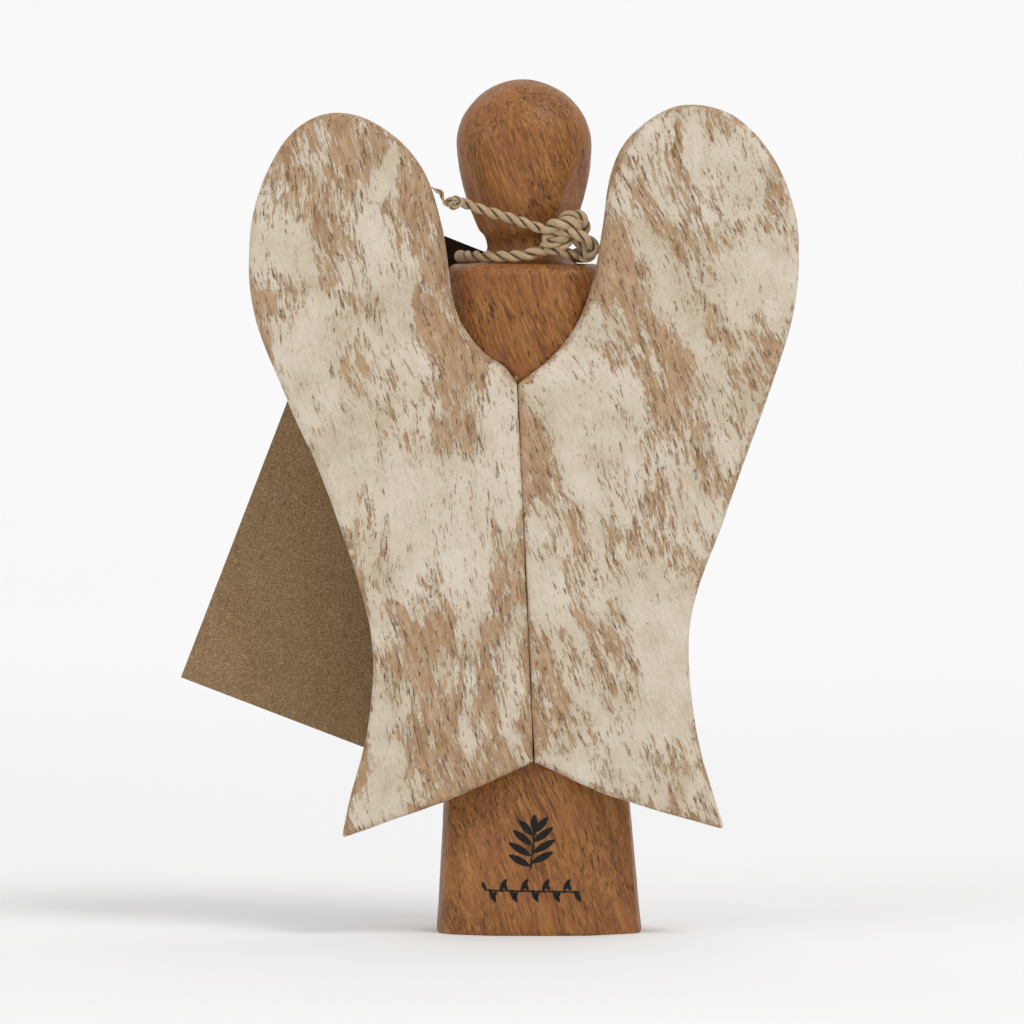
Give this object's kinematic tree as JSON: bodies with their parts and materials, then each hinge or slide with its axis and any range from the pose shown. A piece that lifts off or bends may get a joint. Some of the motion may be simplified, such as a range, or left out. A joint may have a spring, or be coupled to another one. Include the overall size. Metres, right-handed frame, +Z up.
{
  "type": "carved wooden figurine",
  "caption": "Free-standing carved angel with two whitewashed board wings let into its back and a plain card tag hung from twisted twine.",
  "frame": {"origin": "middle of the underside that the figure stands on", "axes": "+Z up along the figure, -Y the way the figure looks, +X towards the figure's left hand"},
  "size_m": [0.1811, 0.0595, 0.2502],
  "materials": {
    "brown_wood": "oiled brown hardwood with dark open pores, satin",
    "whitewash": "rubbed cream whitewash over brown wood, matt",
    "dowel_wood": "plain turned dowel",
    "twine": "two-ply twisted grass twine, dry and slightly glossy",
    "card": "plain brown kraft board with fine fibres"
  },
  "bodies": {
    "figure": {"body": "brown_wood", "wing_left": "whitewash", "wing_right": "whitewash", "wing_dowels_left": "dowel_wood", "wing_dowels_right": "dowel_wood", "neck_twine": "twine", "twine_knot": "twine", "twine_tail": "twine", "tail_knot": "twine"},
    "tag": {"hang_tag": "card"}
  },
  "joints": [
    {"name": "tag_swing", "type": "hinge", "parent": "figure", "child": "tag", "pos_m": [0.0208, -0.0235, 0.1957], "axis": [0.1736, -0.9848, 0], "range_deg": [0, 70]}
  ]
}
